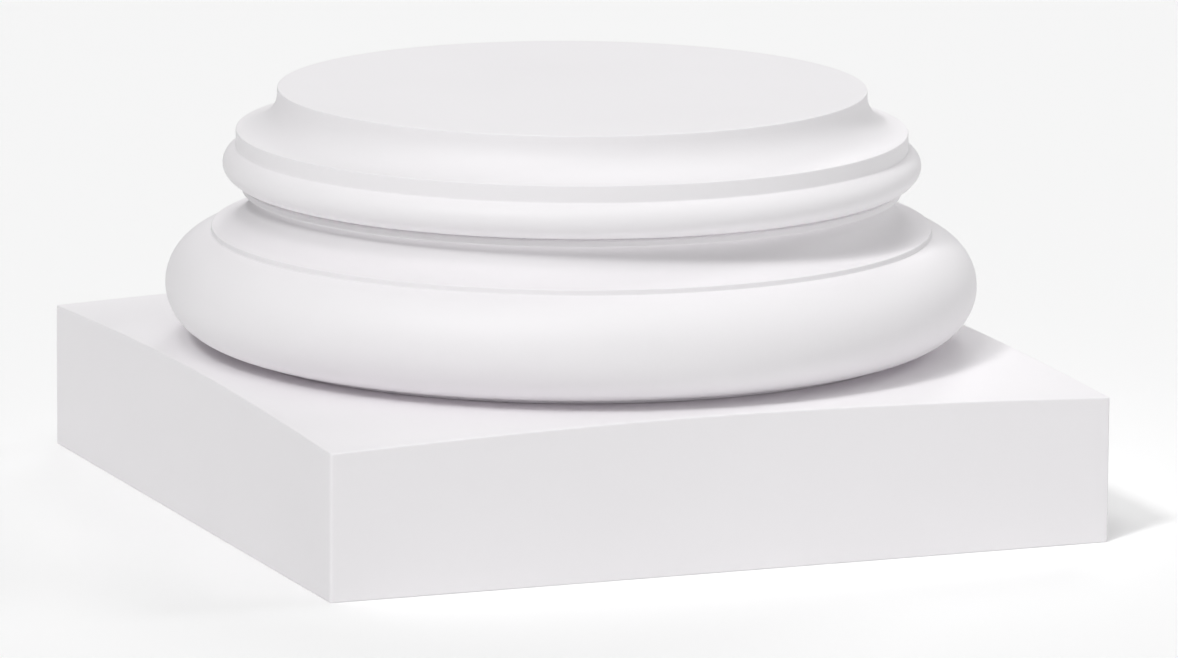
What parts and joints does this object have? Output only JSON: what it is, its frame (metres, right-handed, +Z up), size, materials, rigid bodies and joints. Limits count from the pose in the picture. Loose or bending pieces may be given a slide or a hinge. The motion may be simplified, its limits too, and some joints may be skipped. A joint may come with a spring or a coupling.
{
  "type": "column base",
  "caption": "Square plinth carrying a round turned base moulding of two tori, a scotia and a flare, with a flat round seat on top for a column shaft.",
  "frame": {"origin": "centre of the plinth's underside, on the surface the base stands on", "axes": "+Z up the column's axis, +X and +Y square to two neighbouring sides of the plinth; -Y is the broad side nearest the camera"},
  "size_m": [0.42, 0.42, 0.2127],
  "materials": {
    "plinth": "smooth white primed rigid foam moulding, matt",
    "moulding": "smooth white primed rigid foam moulding, matt"
  },
  "bodies": {
    "root": {"plinth": "plinth", "base_moulding": "moulding"}
  },
  "joints": []
}
